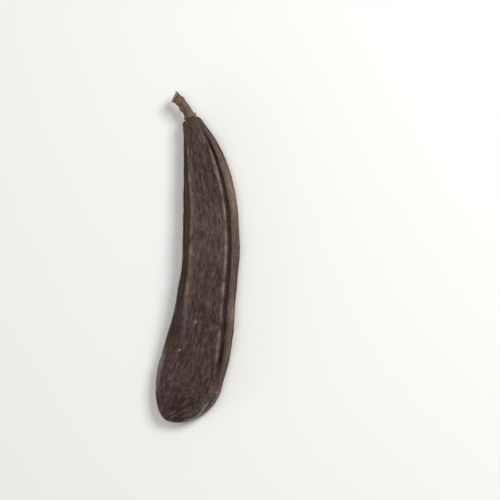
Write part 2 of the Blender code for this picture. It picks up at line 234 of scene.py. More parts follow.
def relief_parts(share, across, height):
    """The main relief in mm, and how much of each form there is at each place."""
    along = share * POD_LENGTH / MM
    aside, side, on_right = np.abs(across), np.sign(across), across > 0
    on_face = step_up(FACE_FROM, FACE_FULL, np.abs(height))
    fading = 1 - step_up(*RELIEF_OUT, share)
    shown = step_up(*RELIEF_IN, share) * fading
    line_shown = np.where(on_right, shown, step_up(*LEFT_RELIEF_IN, share) * fading)
    rim_shown = step_up(*RIM_IN, share) * fading

    left_place, right_place = through(LEFT_GROOVE_KEYS, share), through(RIGHT_GROOVE_KEYS, share)
    place = np.where(on_right, right_place, left_place)
    top_depth = np.where(on_right, GROOVE_TOP_RIGHT, GROOVE_TOP_LEFT)
    softness = np.where(on_right, 1, LEFT_SOFTNESS)
    groove = bell(aside, place, GROOVE_SPREAD * softness)
    bead = BEAD_MEAN + BEADS * waves(along / BEAD_LENGTH, side * EDGES_APART, BEAD_SLICE)
    ridge = bell(aside, place - RIDGE_INSIDE, RIDGE_SPREAD * softness)
    ridge = ridge * np.clip(bead, LEAST_BEAD, 1)
    rim = bell(aside, place + RIM_OUTSIDE, RIM_SPREAD)
    sink = FACE_SINK * (1 - step_up(*SINK_EDGES, aside))

    beat = along / SEED_SPACING
    row = np.cos(2 * np.pi * (beat + SEED_DRIFT * waves(beat * SEED_DRIFT_RATE, 0, SEED_SLICE)))
    seed_size = 1 + SEED_UNEVENNESS * waves(beat * SEED_UNEVENNESS_RATE, 1, SEED_SLICE)
    seed = SEED_RISE * seed_size * (0.5 + 0.5 * row) * bell(across, 0, SEED_SPREAD)

    x, z = across * USUAL_HALF_WIDTH, height * USUAL_HALF_THICKNESS
    swell = SWELL_RISE * waves(along / SWELL_LENGTH, x / SWELL_WIDTH, z / SWELL_WIDTH + SWELL_SLICE)
    lengthwise = along / WRINKLE_LENGTH + WRINKLE_LEAN * x
    crease = waves(lengthwise, x / WRINKLE_WIDTH, z / WRINKLE_WIDTH + WRINKLE_SLICE)
    patch = waves(along / PATCH_LENGTH, x / PATCH_WIDTH, z / PATCH_WIDTH + PATCH_SLICE)
    wrinkle = WRINKLE_RISE * (1 - 2 * np.abs(crease)) * (PATCH_MEAN + PATCH_RANGE * patch)

    depth = np.where(height > 0, top_depth, GROOVE_UNDER) * groove
    face = line_shown * (RIDGE_RISE * ridge - depth) + shown * (seed - sink)
    face = face + rim_shown * RIM_RISE * rim
    seam = rim_shown * bell(height, 0, SEAM_SPREAD)
    out = on_face * face - (1 - on_face) * SEAM_DEPTH * seam + swell + wrinkle

    past_groove = aside - place
    tan = TAN_LEAST + (1 - TAN_LEAST) * sum(much * bell(share, *at) for *at, much in TAN_PLACES)
    on_wall = (1 - on_face) * step_up(*TAN_DOWN_WALL, height)
    outer = np.maximum(on_wall, step_up(*TAN_PAST_GROOVE, past_groove) * (height > 0))
    rubbed_and_sheen = RUBBED_AND_SHEEN_LEAST + sum(much * bell(along, *at) for *at, much in RUBBED_AND_SHEEN)
    rubbed_and_sheen = np.clip(rubbed_and_sheen + step_up(*RUBBED_AND_SHEEN_UP_TO, along), 0, 1)
    margin = step_up(*MARGIN_IN, share) * step_up(*MARGIN_PAST_GROOVE, past_groove)
    line = line_shown * on_face
    amounts = {
        "groove": line * groove * np.where(on_right, 1, LEFT_GROOVE_SHADE),
        "deepest_groove_shade": line * groove * bell(share, DEEP_PLACE, DEEP_SPREAD) * on_right,
        "ridge": line * ridge * np.where(on_right, rubbed_and_sheen, LEFT_RIDGE_HIGHLIGHT),
        "rim": line_shown * rim * on_right,
        "left_margin_shade": fading * margin * (across < 0),
        "seam": seam * (1 - on_face),
        "outer_side": outer * tan * rim_shown * on_right,
    }
    return out, amounts


# The lip: round the blossom end the rim thins to a fine raised line on the right edge. A
# second line follows the corner above it, with a shallow furrow halfway between the two
# and a greenish band inside. Places are mm in from the pod's outline, but for the lip's,
# which is a height, and sides are mm right of the middle. A pair called in, out or opening
# gives the shares of the length over which a form comes in, goes out or opens.
# The lip and corner lines are painted pale as highlights, and the furrow between them dark as shade
LIP_HEIGHT, LIP_SPREAD, LIP_RISE, LIP_OUT = 0.02, 0.2, 0.1, (0.11, 0.17)
CORNER_PLACE, CORNER_OPENS_BY, CORNER_OPENING = 0.35, 1.15, (0.035, 0.09)
CORNER_SPREAD, CORNER_RISE, CORNER_OUT = 0.32, 0.12, (0.08, 0.11)
FURROW_SHARE, FURROW_SPREAD, FURROW_DEPTH = 0.5, 0.28, 0.14
BAND_PLACE, BAND_SPREAD, BAND_OUT = 2.0, 1.5, (0.13, 0.2)
RIGHT_SIDE, LEFT_SIDE = (1.0, 5.0), (-4, 4)
# Light catches the lower left edge, as if polished, and most at the best place
SHINE_PLACE, SHINE_SPREAD, SHINE_IN, SHINE_OUT = 1.4, 1.2, (0.05, 0.14), (0.17, 0.25)
SHINE_LEAST, SHINE_BEST = 0.6, (0.168, 0.04)
EDGE_LINE_STEPS = 2400


def distance_from_edge(share, across):
    """How far each place is from the pod's outline, in mm, with the pod laid out straight."""
    fine = np.linspace(0, 1, EDGE_LINE_STEPS) ** 2
    line = []
    for side in (-1, 1):
        x = side * half_width(fine, np.full_like(fine, side)) / MM - tip_aside(fine)
        line += np.stack([x, fine * POD_LENGTH / MM], axis=-1).tolist()
    tree = kdtree.KDTree(len(line))
    for number, (x, y) in enumerate(line):
        tree.insert((x, y, 0), number)
    tree.balance()
    x = across * half_width(share, across) / MM - tip_aside(share)
    share, x = np.broadcast_arrays(share, x)
    places = zip(x.ravel().tolist(), (share * POD_LENGTH / MM).ravel().tolist())
    return np.array([tree.find((px, py, 0))[2] for px, py in places]).reshape(x.shape)


def lip_parts(share, across, height):
    """The lip's relief in mm, and how much of each of its lines there is at each place."""
    inside = distance_from_edge(share, across)
    on_right = step_up(*RIGHT_SIDE, across * half_width(share, across) / MM - tip_aside(share))
    on_left = 1 - step_up(*LEFT_SIDE, across * USUAL_HALF_WIDTH)
    above = step_up(0, FACE_FROM, height)

    lip = bell(height, LIP_HEIGHT, LIP_SPREAD) * on_right * (1 - step_up(*LIP_OUT, share))
    opening = step_up(*CORNER_OPENING, share)
    corner_place = CORNER_PLACE + CORNER_OPENS_BY * opening
    corner_shown = above * on_right * (1 - step_up(*CORNER_OUT, share))
    corner = bell(inside, corner_place, CORNER_SPREAD) * corner_shown
    furrow = bell(inside, FURROW_SHARE * corner_place, FURROW_SPREAD) * corner_shown * opening
    band = bell(inside, BAND_PLACE, BAND_SPREAD) * above * on_right
    shine = bell(inside, SHINE_PLACE, SHINE_SPREAD) * above * on_left
    shine = shine * step_up(*SHINE_IN, share) * (1 - step_up(*SHINE_OUT, share))
    amounts = {
        "lip": lip,
        "corner": corner,
        "furrow": furrow,
        "band": band * (1 - step_up(*BAND_OUT, share)),
        "left_shine": shine * (SHINE_LEAST + (1 - SHINE_LEAST) * bell(share, *SHINE_BEST)),
    }
    return LIP_RISE * lip + CORNER_RISE * corner - FURROW_DEPTH * furrow, amounts


# The fine creases of dried skin, in mm. They are furrows, so they stay inside the form.
# Lengthwise ones waver, part and join. Oblique ones cross the round end. Each margin has
# a few fine ribs along it, and its seam is rough with torn fibres. The fibres of the skin
# are too fine to show, so they are drawn 0.6 mm wide.
WAVER, WAVER_LENGTH, WAVER_WIDTH, WAVER_SLICE = 1.6, 19, 8, 41
CREASE_DEPTH, CREASE_LENGTH, CREASE_WIDTH, CREASE_SLICE = 0.16, 8.5, 1.1, 43
CREASE_SHARPNESS = 0.2
FIBRE_DEPTH, FIBRE_LENGTH, FIBRE_WIDTH, FIBRE_SLICE = 0.1, 2.4, 0.62, 47
OBLIQUE_DEPTH, OBLIQUE_LENGTH, OBLIQUE_WIDTH, OBLIQUE_SLICE = 0.42, 3.6, 1.8, 53
OBLIQUE_PLACE, OBLIQUE_SPREAD, OBLIQUE_SHARPNESS, OBLIQUE_HEIGHT = 0.04, 0.13, 0.24, 3
SKIN_INSET = 0.04
PUCKER_DEPTH, PUCKER_COUNT, PUCKER_IN = 0.3, 13, (0.92, 0.985)
PUCKER_WAVER, PUCKER_LENGTH, PUCKER_SLICE = 3, 7, 67
RIB_DEPTH, RIB_SPACING, RIB_WAVER, RIB_LENGTH, RIBS_APART, RIB_SLICE = 0.13, 1.25, 1.2, 9, 3, 59
TORN_DEPTH, TORN_LENGTH, TORN_WIDTH, TORN_APART, TORN_SLICE = 0.22, 1.3, 0.7, 2, 61


def swing(phase):
    """From 0 up to 1 and back for each whole turn of the phase."""
    return 0.5 - 0.5 * np.cos(phase)


def sharp(value, sharpness):
    """1 where the value is 0, falling to 0 on each side: a sharp crease."""
    return np.clip(1 - np.abs(value) / sharpness, 0, 1)


def crease_parts(share, across, height):
    """The fine creases in mm, and how much crease or high skin there is at each place."""
    along = share * POD_LENGTH / MM
    x = across * USUAL_HALF_WIDTH * closing(share * POD_LENGTH, ROUND_END_RIGHT)
    z = height * USUAL_HALF_THICKNESS
    side = np.sign(across)
    on_face = step_up(FACE_FROM, FACE_FULL, np.abs(height))
    patch = waves(along / PATCH_LENGTH, x / PATCH_WIDTH, z / PATCH_WIDTH + CREASE_SLICE)

    drift = WAVER * waves(along / WAVER_LENGTH, x / WAVER_WIDTH, z / WAVER_WIDTH + WAVER_SLICE)
    wavy_x = x + drift
    crease = waves(along / CREASE_LENGTH, wavy_x / CREASE_WIDTH, z / CREASE_WIDTH + CREASE_SLICE)
    crease = sharp(crease, CREASE_SHARPNESS) * (PATCH_MEAN + PATCH_RANGE * patch)
    fibre = waves(along / FIBRE_LENGTH, wavy_x / FIBRE_WIDTH, z / FIBRE_WIDTH + FIBRE_SLICE) + 0.5

    across_wrinkle, along_wrinkle = (along - x) / np.sqrt(2), (along + x) / np.sqrt(2)
    oblique_z = z / OBLIQUE_HEIGHT + OBLIQUE_SLICE
    oblique = waves(across_wrinkle / OBLIQUE_WIDTH, along_wrinkle / OBLIQUE_LENGTH, oblique_z)
    oblique = sharp(oblique, OBLIQUE_SHARPNESS) * bell(share, OBLIQUE_PLACE, OBLIQUE_SPREAD)
    oblique = oblique * on_face * (1 + patch)

    rib_waver = RIB_WAVER * waves(along / RIB_LENGTH, side * RIBS_APART, RIB_SLICE)
    rib = swing(2 * np.pi * z / RIB_SPACING + rib_waver) * (1 - on_face)
    torn = 0.5 + waves(along / TORN_LENGTH, z / TORN_WIDTH, side * TORN_APART + TORN_SLICE)
    torn = torn * bell(height, 0, SEAM_SPREAD) * (1 - on_face)

    turn = np.arctan2(height, across)
    pucker_waver = PUCKER_WAVER * waves(along / PUCKER_LENGTH, np.cos(turn), PUCKER_SLICE)
    pucker = swing(PUCKER_COUNT * turn + pucker_waver) * step_up(*PUCKER_IN, share)

    out = CREASE_DEPTH * crease + FIBRE_DEPTH * fibre + OBLIQUE_DEPTH * oblique
    out = out + RIB_DEPTH * rib + TORN_DEPTH * torn + PUCKER_DEPTH * pucker
    high = np.clip(1 - fibre - crease, 0, 1)
    return -out - SKIN_INSET, {"crease": crease, "oblique": oblique, "high": high}


# Three low spots that the pod rests on, as (share of the length, place across)
FEET = ((0.12, -0.5), (0.17, 0.55), (0.8, 0.2))
FOOT_CORE, FOOT_RADIUS, FOOT_DEPTH = 1.8 * MM, 9 * MM, 0.2 * MM
FOOT_SIDES = (0.15, 0.75)


def onto_feet(points):
    """Lowers the underside to three small spots, and cuts them level with the surface."""
    for share, across in FEET:
        x, y, heading = middle_line(share)
        reach = across * through(WIDTH_KEYS, share) / 2 * MM
        centre = np.array([x + reach * np.cos(heading), y - reach * np.sin(heading)])
        away = np.linalg.norm(points[..., :2] - centre, axis=-1)
        under = 1 - step_up(*FOOT_SIDES, points[..., 2] / middle_height(share))
        pull = under * (1 - step_up(FOOT_CORE, FOOT_RADIUS, away))
        points[..., 2] += pull * (-FOOT_DEPTH - points[..., 2])
    points[..., 2] = np.maximum(points[..., 2], 0)
    return points


def pod_points(shares, angles):
    """The skin as an array of rings of points, and the amounts of each form at each point."""
    share = shares[:, None]
    across, height = oval(angles)
    half_x, half_z = half_width(share, across), half_thickness(share)
    outward_x = np.sign(across) * np.abs(across) ** (SECTION_POWER - 1) * half_z
    outward_z = np.sign(height) * np.abs(height) ** (SECTION_POWER - 1) * half_x
    steepness = np.maximum(np.hypot(outward_x, outward_z), TINY)
    ends = closing(share * POD_LENGTH, SMOOTH_TIP)
    ends = ends * closing((1 - share) * POD_LENGTH, SMOOTH_NECK)

    out, amounts = relief_parts(share, across, height)
    for parts in (lip_parts, crease_parts):
        more, more_amounts = parts(share, across, height)
        out = out + more
        amounts |= more_amounts
    out = out * ends * MM
    x = across * half_x - tip_aside(share) * MM + outward_x / steepness * out
    z = height * half_z + outward_z / steepness * out
    laid_out = np.stack(np.broadcast_arrays(x, share * POD_LENGTH, z), axis=-1) / MM

    roll = np.radians(through(ROLL_KEYS, share))
    x, z = x * np.cos(roll) - z * np.sin(roll), x * np.sin(roll) + z * np.cos(roll)
    line_x, line_y, heading = middle_line(share)
    x, y = line_x + x * np.cos(heading), line_y - x * np.sin(heading)
    return onto_feet(np.stack([x, y, z + middle_height(share)], axis=-1)), laid_out, amounts


# The grid over the skin: rings from the blossom end to the neck, close together where an
# end rounds off, and points spread evenly round each ring but closer at the grooves.
RING_POINTS, BODY_RINGS, TIP_RINGS, NECK_RINGS = 208, 400, 40, 9
GROOVE_CROWDING, CROWDING_SPREAD = 1.0, 0.12
NECK_STOP = 0.8


def spread_angles(count):
    fine = np.linspace(0, 2 * np.pi, OVAL_STEPS + 1)
    across, height = oval(fine)
    width, thickness = through(WIDTH_KEYS, MIDDLE), through(THICKNESS_KEYS, MIDDLE)
    steps = np.hypot(np.diff(across) * width, np.diff(height) * thickness)
    groove = through(RIGHT_GROOVE_KEYS, MIDDLE)
    steps *= 1 + GROOVE_CROWDING * bell(np.abs(across[1:]), groove, CROWDING_SPREAD)
    run = np.concatenate([[0], np.cumsum(steps)])
    return np.interp(np.arange(count) / count * run[-1], run, fine)


# The neck ends in a socket that the stalk grows out of. Its skin is drawn in round the
# stalk as a small lip, given as (radius, place out along the stalk) in mm.
STALK_RADIUS = 1.9 * MM
STALK_ROOT = 2.6 * MM
STALK_PITCH = 4
SOCKET_LIP = ((2.4, -0.42), (2.26, -0.36), (2.14, -0.46), (2.1, -0.8), (2.1, -1.5), (2.1, -2.4))


def neck_matrix():
    """The frame at the end of the neck: +Z runs out along the stalk."""
    x, y, heading = (float(value) for value in middle_line(1.0))
    turn = Matrix.Rotation(-heading, 4, "Z") @ Matrix.Rotation(np.radians(STALK_PITCH - 90), 4, "X")
    return Matrix.Translation((x, y, float(middle_height(1.0)))) @ turn


def skinned(name, rings, first_tip, last_tip):
    """A closed mesh object over rings of points, with a point closing each end."""
    ring_count, side_count = rings.shape[:2]
    corners = np.arange(ring_count * side_count).reshape(ring_count, side_count)
    after = np.roll(corners, -1, axis=1)
    faces = np.stack([corners[:-1], after[:-1], after[1:], corners[1:]], axis=-1)
    faces = faces.reshape(-1, 4).tolist()
    first, last = ring_count * side_count, ring_count * side_count + 1
    faces += [(first, b, a) for a, b in zip(corners[0].tolist(), after[0].tolist())]
    faces += [(last, a, b) for a, b in zip(corners[-1].tolist(), after[-1].tolist())]
    points = [*rings.reshape(-1, 3).tolist(), first_tip.tolist(), last_tip.tolist()]
    mesh = bpy.data.meshes.new(name)
    mesh.from_pydata(points, [], faces)
    mesh.shade_smooth()
    piece = bpy.data.objects.new(name, mesh)
    bpy.context.scene.collection.objects.link(piece)
    return piece


def give_amounts(piece, name, kind, values):
    """Stores a number or a place at each point of the piece, for its material to read."""
    field = "vector" if kind == "FLOAT_VECTOR" else "value"
    stored = piece.data.attributes.new(name, kind, "POINT")
    stored.data.foreach_set(field, np.ascontiguousarray(values, np.float32).ravel())


tip = (ROUND_END_LEFT + ROUND_END_RIGHT) / 2 / POD_LENGTH
blunt = BLUNT_NECK / POD_LENGTH
tip_turns = np.linspace(0, np.pi / 2, TIP_RINGS + 1)[1:-1]
neck_turns = np.linspace(np.pi / 2, np.arcsin(NECK_STOP), NECK_RINGS)[1:]
shares = np.concatenate(
    [
        tip * (1 - np.cos(tip_turns)),
        np.linspace(tip, 1 - blunt, BODY_RINGS),
        1 - blunt * (1 - np.cos(neck_turns)),
    ]
)
angles = spread_angles(RING_POINTS)[::-1]
skin, laid_out, amounts = pod_points(shares, angles)
tip_point = pod_points(np.array([0.0]), np.zeros(1))[0]

neck = neck_matrix()
lip_rings = []
for radius, out in SOCKET_LIP:
    round_x, round_y = radius * np.cos(angles), -radius * np.sin(angles)
    ring = np.stack([round_x, round_y, np.full(RING_POINTS, out)], axis=-1)
    lip_rings.append(ring * MM @ np.array(neck.to_3x3()).T + np.array(neck.translation))
socket_floor = lip_rings[-1].mean(axis=0)
rings = np.concatenate([skin, lip_rings])

pod = skinned("pod_skin", rings, tip_point[0, 0], socket_floor)
low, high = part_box("pod")
own_x, own_y = skin[..., 0], skin[..., 1]
to_frame = Vector(((low.x + high.x - own_x.min() - own_x.max()) / 2, low.y - own_y.min(), 0))
pod.data.transform(Matrix.Translation(to_frame))


def over_all_points(values):
    """Values at the skin's points, carried on over the lip's rings and the two end points."""
    last = np.repeat(values[-1:], len(SOCKET_LIP), axis=0)
    every = np.concatenate([values, last]).reshape(-1, *values.shape[2:])
    return np.concatenate([every, values[:1, 0], values[-1:, 0]])


give_amounts(pod, "laid_out", "FLOAT_VECTOR", over_all_points(laid_out))
for form, amount in amounts.items():
    give_amounts(pod, form, "FLOAT", over_all_points(np.broadcast_to(amount, skin.shape[:2])))


def colour(code):
    """A hex sRGB colour as linear red, green and blue, and full alpha."""
    parts = [int(code[i : i + 2], 16) / 255 for i in (1, 3, 5)]
    return (*(c / 12.92 if c <= 0.04045 else ((c + 0.055) / 1.055) ** 2.4 for c in parts), 1)


def add(tree, kind, links=None, **settings):
    """Adds a node with its settings, and gives each input a value or another node's output.

    Inputs go by name or by number. In Mix, 0 is the share, and 2 and 3 are the numbers or
    6 and 7 the colours that are mixed. In MapRange, 0 is the value, 1 and 2 its range, and
    3 and 4 the range it is turned into.
    """
    made = tree.nodes.new("ShaderNode" + kind)
    for name, value in settings.items():
        setattr(made, name, value)
    for name, value in (links or {}).items():
        if isinstance(value, bpy.types.NodeSocket):
            tree.links.new(value, made.inputs[name])
        else:
            made.inputs[name].default_value = value
    return made


# Dried carob skin: a thin brown hide with a waxy bloom, semi-matte. It is dark brown, with
# fine streaks along the pod, reddish and olive patches, tan in its rough seams, and a few pale
# flecks of dust. Painted shade darkens its creases, grooves, furrow and left margin, pinkish
# grey where the creases leave it high is its bloom with a painted sheen, and its lip lines and
# right ridge carry painted highlights.
# Its real fibres and pores, about 0.1 mm wide, are too fine to show in the render, so its
# streaks are drawn 0.55 mm wide and its pores 0.3 mm. All sizes here are in mm.
SKIN_BROWN, SKIN_DARK, SKIN_LIGHT = "#3c2b26", "#271712", "#4b3c36"
SKIN_REDDISH, SKIN_OLIVE, BLOOM_AND_SHEEN = "#492822", "#3f3728", "#675951"
WRINKLE_RED, GROOVE_OLIVE_AND_SHADE, DEEP_GROOVE_SHADE = "#2a130e", "#30261b", "#140c09"
RIDGE_PINK_HIGHLIGHT, RIM_BROWN, OUTER_TAN = "#8e7b75", "#5d4e48", "#8c7660"
SEAM_RED, BAND_OLIVE, PALE_HIGHLIGHT = "#5a382c", "#524c44", "#9c9387"
SHINE_GREY, FLECK = "#857f76", "#b9aea3"
STREAK_WIDTH, STREAK_LENGTH, STREAK_MOTTLE = 0.55, 4.5, 0.45
MOTTLE_SIZE, PORE_SIZE = 1.3, 0.3
PATCH_ACROSS, PATCH_ALONG = 6, 13
DOT_SPACING, DOT_RAGGED, DOT_EDGE, DOT_MOST = 0.95, 0.9, (-0.08, -0.3), 0.8
# Flecks of dust: one in each cell of this size, where the cell's own number is high enough
FLECK_SPACING, FLECK_RADIUS, FLECK_RAGGED, FLECK_FROM = 9, 0.27, 2.6, 0.62
# Flecks and patches that show clearly, as places on the skin laid out straight. A fleck's
# most is past 1, so that it is solid in its middle.
FLECKS_SEEN = ((-1.7, 40.4, 4.2), (-5.6, 27.9, 3.8), (12.8, 16.7, 1.7))
SEEN_RADIUS, SEEN_MOST = 1.7 * FLECK_RADIUS, 1.4
SPOTS = (
    # place, radius, colour, and how much of it at the middle
    ((0.7, 38.1, 4.5), 3.0, SKIN_REDDISH, 0.85),
    ((0, 51.6, 3.9), 4.2, SKIN_OLIVE, 0.8),
    ((-2.1, 46.5, 4.2), 4.0, SKIN_DARK, 0.5),
    # paler patches: wax bloom with a painted sheen
    ((-6.0, 54.5, 4.4), 4.5, BLOOM_AND_SHEEN, 0.4),
    ((2.9, 48.0, 4.2), 3.0, BLOOM_AND_SHEEN, 0.4),
    ((5.2, 25.0, 4.0), 5.0, BLOOM_AND_SHEEN, 0.3),
    ((-4.6, 17.0, 4.0), 6.0, BLOOM_AND_SHEEN, 0.3),
    # two painted highlights on the right ridge
    ((7.25, 56.0, 4.0), 1.1, PALE_HIGHLIGHT, 0.65),
    ((7.2, 54.6, 4.0), 1.1, PALE_HIGHLIGHT, 0.65),
)
STREAK_PAINT = (
    # streak where the colour starts, streak where it is full, how much it is then, colour
    (0.5, 0.38, 0.8, SKIN_DARK),
    (0.51, 0.62, 1, SKIN_LIGHT),
)
PATCH_PAINT = (
    # the same for patches
    (0.55, 0.7, 0.5, SKIN_REDDISH),
    (0.44, 0.3, 0.4, SKIN_OLIVE),
)
FORM_PAINT = (
    # amount at each point, colour, and the least and most of it, from low to high streaks
    # skin left high by the creases: pale wax bloom with a painted sheen
    ("high", BLOOM_AND_SHEEN, 0.05, 0.7),
    # painted shade in the fine creases
    ("crease", SKIN_DARK, 0.3, 0.75),
    ("rim", RIM_BROWN, 0.1, 0.6),
    ("outer_side", OUTER_TAN, 0.3, 0.9),
    ("seam", SEAM_RED, 0.3, 0.6),
    # the grooves: olive brown with painted shade, darkest in their deepest stretch
    ("groove", GROOVE_OLIVE_AND_SHADE, 0.5, 0.9),
    ("deepest_groove_shade", DEEP_GROOVE_SHADE, 0.8, 1.0),
    # the ridges: pale pink where rubbed, with a painted highlight on both
    ("ridge", RIDGE_PINK_HIGHLIGHT, 0.35, 0.95),
    # painted shade, reddish, in the oblique creases across the round end
    ("oblique", WRINKLE_RED, 0.6, 1.0),
    # painted shade on the left margin, which slopes away from the light
    ("left_margin_shade", SKIN_DARK, 0.55, 0.85),
    ("band", BAND_OLIVE, 0.1, 0.6),
    # painted shade in the furrow
    ("furrow", SKIN_DARK, 0.2, 0.6),
    # painted highlights on the lip and corner lines
    ("lip", PALE_HIGHLIGHT, 0.7, 1.0),
    ("corner", PALE_HIGHLIGHT, 0.3, 0.8),
    ("left_shine", SHINE_GREY, 0.45, 0.95),
)
SPOT_STREAKS, FORM_STREAKS, ROUGH_STREAKS = (0.4, 0.6), (0.35, 0.62), (0.3, 0.7)
SPOT_LEAST, ROUGH_LOW, ROUGH_HIGH = 0.5, 0.6, 0.4
SPECULAR, WAX, WAX_ROUGHNESS = 0.2, 0.06, 0.35
# The finest relief: the streaks, branching lines 1.4 streaks wide, and the pores
STREAK_RELIEF, BRANCHING_RELIEF, BRANCHING_WIDTHS = 1.5, 0.5, 1.4
GRAIN_STRENGTH, GRAIN_DEPTH = 0.8, 0.09 * MM

material = bpy.data.materials.new("dried carob skin")
material.use_nodes = True
tree = material.node_tree
shader = tree.nodes["Principled BSDF"]
place = add(tree, "Attribute", attribute_name="laid_out").outputs["Vector"]
streak_scale = (1 / STREAK_WIDTH, 1 / STREAK_LENGTH, 1 / STREAK_WIDTH)
streak_place = add(
    tree, "VectorMath", {0: place, 1: streak_scale}, operation="MULTIPLY"
).outputs[0]
patch_scale = (1 / PATCH_ACROSS, 1 / PATCH_ALONG, 1 / PATCH_ACROSS)
patch_place = add(
    tree, "VectorMath", {0: place, 1: patch_scale}, operation="MULTIPLY"
).outputs[0]
streaks = add(
    tree, "TexNoise", {"Vector": streak_place, "Scale": 1, "Detail": 6, "Roughness": 0.65}
).outputs["Fac"]
mottle = add(
    tree, "TexNoise", {"Vector": place, "Scale": 1 / MOTTLE_SIZE, "Detail": 4, "Roughness": 0.6}
).outputs["Fac"]
streaks = add(tree, "Mix", {0: STREAK_MOTTLE, 2: streaks, 3: mottle}).outputs[0]
patches = add(tree, "TexNoise", {"Vector": patch_place, "Scale": 1, "Detail": 3}).outputs["Fac"]
pores = add(tree, "TexNoise", {"Vector": place, "Scale": 1 / PORE_SIZE, "Detail": 3}).outputs

# Each layer of paint is an amount and a colour, laid on in this order over plain brown
layers = []
for pattern, pattern_paint in ((streaks, STREAK_PAINT), (patches, PATCH_PAINT)):
    for start, full, most, code in pattern_paint:
        amount = add(tree, "MapRange", {0: pattern, 1: start, 2: full, 4: most}).outputs[0]
        layers.append((amount, code))


def near(tree, place, spot, radius, most):
    """How near a place is to a spot: nothing at this radius from it, and most at the spot."""
    away = add(tree, "VectorMath", {0: place, 1: spot}, operation="DISTANCE").outputs["Value"]
    return add(tree, "MapRange", {0: away, 1: radius, 2: 0, 4: most}).outputs[0]


def uneven(tree, amount, streak_range, least, most):
    """An amount that the streaks make uneven, from least to most over their range."""
    low, high = streak_range
    weight = add(tree, "MapRange", {0: streaks, 1: low, 2: high, 3: least, 4: most}).outputs[0]
    return add(tree, "Math", {0: amount, 1: weight}, operation="MULTIPLY").outputs[0]


for spot, radius, code, most in SPOTS:
    amount = near(tree, place, spot, radius, most)
    layers.append((uneven(tree, amount, SPOT_STREAKS, SPOT_LEAST, 1), code))
for form, code, least, most in FORM_PAINT:
    amount = add(tree, "Attribute", attribute_name=form).outputs["Fac"]
    layers.append((uneven(tree, amount, FORM_STREAKS, least, most), code))

# Fine dark dots on the rim, made ragged by the mottle
dots = add(tree, "TexVoronoi", {"Vector": place, "Scale": 1 / DOT_SPACING}).outputs["Distance"]
dots = add(tree, "Math", {0: mottle, 1: -DOT_RAGGED, 2: dots}, operation="MULTIPLY_ADD").outputs[0]
dots = add(tree, "MapRange", {0: dots, 1: DOT_EDGE[0], 2: DOT_EDGE[1], 4: DOT_MOST}).outputs[0]
on_rim = add(tree, "Attribute", attribute_name="rim").outputs["Fac"]
dots = add(tree, "Math", {0: dots, 1: on_rim}, operation="MULTIPLY").outputs[0]
layers.append((dots, WRINKLE_RED))

# Flecks of dust, made ragged by the pores
ragged = {0: pores["Color"], 1: (FLECK_RAGGED,) * 3, 2: place}
ragged_place = add(tree, "VectorMath", ragged, operation="MULTIPLY_ADD").outputs[0]
cells = add(tree, "TexVoronoi", {"Vector": ragged_place, "Scale": 1 / FLECK_SPACING}).outputs
fleck_size = FLECK_RADIUS / FLECK_SPACING
fleck_near = add(
    tree, "MapRange", {0: cells["Distance"], 1: fleck_size, 2: fleck_size / 2}
).outputs[0]
fleck_here = add(
    tree, "Math", {0: cells["Color"], 1: FLECK_FROM}, operation="GREATER_THAN"
).outputs[0]
flecks = add(tree, "Math", {0: fleck_near, 1: fleck_here}, operation="MULTIPLY").outputs[0]
for spot in FLECKS_SEEN:
    # the ragging moves every place by half its size on average, so the spot moves as much
    spot = tuple(value + FLECK_RAGGED / 2 for value in spot)
    seen = near(tree, ragged_place, spot, SEEN_RADIUS, SEEN_MOST)
    flecks = add(tree, "Math", {0: flecks, 1: seen}, operation="MAXIMUM").outputs[0]
layers.append((flecks, FLECK))

paint = colour(SKIN_BROWN)
for amount, code in layers:
    paint = add(
        tree, "Mix", {0: amount, 6: paint, 7: colour(code)}, data_type="RGBA"
    ).outputs[2]
tree.links.new(paint, shader.inputs["Base Color"])

low, high = ROUGH_STREAKS
rough = add(tree, "MapRange", {0: streaks, 1: low, 2: high, 3: ROUGH_LOW, 4: ROUGH_HIGH})
tree.links.new(rough.outputs[0], shader.inputs["Roughness"])
shader.inputs["Specular IOR Level"].default_value = SPECULAR
shader.inputs["Coat Weight"].default_value = WAX
shader.inputs["Coat Roughness"].default_value = WAX_ROUGHNESS
branching = add(
    tree,
    "TexNoise",
    {"Vector": streak_place, "Scale": 1 / BRANCHING_WIDTHS, "Detail": 5},
    noise_type="RIDGED_MULTIFRACTAL",
).outputs["Fac"]
relief = {0: streaks, 1: STREAK_RELIEF, 2: pores["Fac"]}
grain = add(tree, "Math", relief, operation="MULTIPLY_ADD").outputs[0]
relief = {0: branching, 1: BRANCHING_RELIEF, 2: grain}
grain = add(tree, "Math", relief, operation="MULTIPLY_ADD").outputs[0]
bump = add(
    tree, "Bump", {"Height": grain, "Strength": GRAIN_STRENGTH, "Distance": GRAIN_DEPTH}
).outputs[0]
tree.links.new(bump, shader.inputs["Normal"])
pod.data.materials.append(material)

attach(pod, "root")
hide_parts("pod")

# The stalk: the woody stub that the pod hung by, grown into the neck with a wrinkled
# collar round its foot, knobbed where others branched off it, and torn off across its
# fibres. It is dry wood under a thin grey-brown bark.

# It is a hair shorter than the solid that it replaces, so its torn end stays inside
STALK_REACH, STALK_TAPER, STALK_TURN = 10.37 * MM, 0.16, -30
COLLAR_PLACE, COLLAR_SPREAD, COLLAR_RISE = 0.4 * MM, 0.6 * MM, 0.8 * MM
